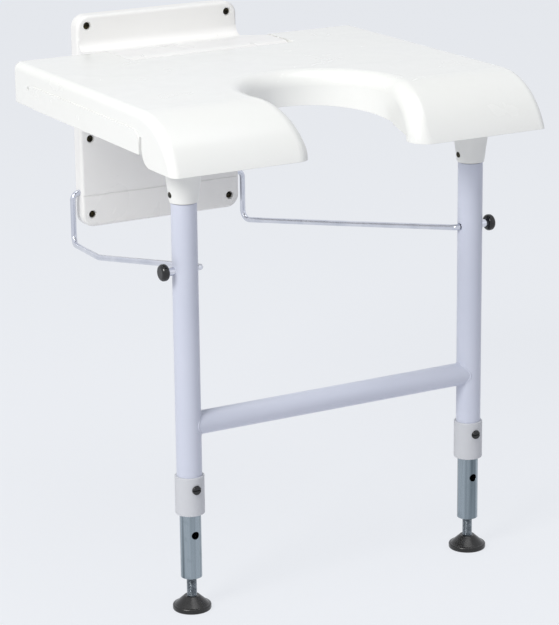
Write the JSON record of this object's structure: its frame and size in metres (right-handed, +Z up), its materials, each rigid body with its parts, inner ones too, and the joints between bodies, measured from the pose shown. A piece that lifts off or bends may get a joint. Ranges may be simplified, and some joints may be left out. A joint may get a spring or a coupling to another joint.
{
  "type": "wall-mounted folding shower seat",
  "caption": "Wall-mounted folding shower seat with a horseshoe cut-out, adjustable legs with a crossbar, and a wire stay from the wall plate to the legs.",
  "frame": {"origin": "centre of the four outer wall screw holes, at the wall plate's back face", "axes": "+X to the right seen from the front, +Y into the wall, +Z up"},
  "size_m": [0.4136, 0.4461, 0.528],
  "materials": {
    "plate_plastic": "warm white moulded plastic",
    "seat_plastic": "glossy white moulded plastic",
    "socket_plastic": "white moulded plastic",
    "leg_coat": "bluish white powder coat",
    "collar_plastic": "white moulded plastic",
    "inner_leg_metal": "drawn tube",
    "bare_steel": "turned and plated",
    "dark_steel": "dark rivet end",
    "stay_plating": "bright plated wire",
    "nylon": "natural nylon",
    "black_plastic": "black moulded plastic",
    "foot_rubber": "black moulded rubber"
  },
  "bodies": {
    "wall_bracket": {"wall_plate": "plate_plastic", "left_hinge_bush": "nylon", "right_hinge_bush": "nylon"},
    "seat": {"seat_shell": "seat_plastic", "hinge_rod": "bare_steel", "left_leg_socket": "socket_plastic", "right_leg_socket": "socket_plastic", "left_leg_pivot_pin": "dark_steel", "right_leg_pivot_pin": "dark_steel"},
    "leg_frame": {"leg_crossbar": "leg_coat", "left_leg_insert": "nylon", "right_leg_insert": "nylon", "left_leg_tube": "leg_coat", "right_leg_tube": "leg_coat", "left_leg_collar": "collar_plastic", "right_leg_collar": "collar_plastic", "left_collar_screw": "black_plastic", "right_collar_screw": "black_plastic", "left_stay_pin": "stay_plating", "right_stay_pin": "stay_plating", "left_stay_cap": "black_plastic", "right_stay_cap": "black_plastic"},
    "stay": {"stay_wire": "stay_plating"},
    "left_extension": {"left_inner_leg": "inner_leg_metal", "left_foot_insert": "nylon"},
    "right_extension": {"right_inner_leg": "inner_leg_metal", "right_foot_insert": "nylon"},
    "left_foot": {"left_foot_stem": "bare_steel", "left_foot_pad": "foot_rubber"},
    "right_foot": {"right_foot_stem": "bare_steel", "right_foot_pad": "foot_rubber"}
  },
  "joints": [
    {"name": "seat_fold", "type": "hinge", "parent": "wall_bracket", "child": "seat", "pos_m": [0, -0.12, 0.0655], "axis": [-1, 0, 0], "range_deg": [0, 90]},
    {"name": "leg_fold", "type": "hinge", "parent": "seat", "child": "leg_frame", "pos_m": [0, -0.378, 0.0045], "axis": [-1, 0, 0], "range_deg": [-90, 0]},
    {"name": "stay_swing", "type": "hinge", "parent": "wall_bracket", "child": "stay", "pos_m": [0, -0.008, -0.078], "axis": [-1, 0, 0], "range_deg": [0, 60.88]},
    {"name": "left_height", "type": "slide", "parent": "leg_frame", "child": "left_extension", "axis": [0, 0, -1], "range_m": [-0.048, 0.072]},
    {"name": "left_level", "type": "slide", "parent": "left_extension", "child": "left_foot", "axis": [0, 0, -1], "range_m": [-0.008, 0.012]},
    {"name": "right_height", "type": "slide", "parent": "leg_frame", "child": "right_extension", "axis": [0, 0, -1], "range_m": [-0.048, 0.072]},
    {"name": "right_level", "type": "slide", "parent": "right_extension", "child": "right_foot", "axis": [0, 0, -1], "range_m": [-0.008, 0.012]}
  ],
  "couplings": [
    {"joint": "leg_fold", "follows": "seat_fold", "ratio": -1},
    {"joint": "stay_swing", "follows": "seat_fold", "ratio": 0.67629}
  ]
}
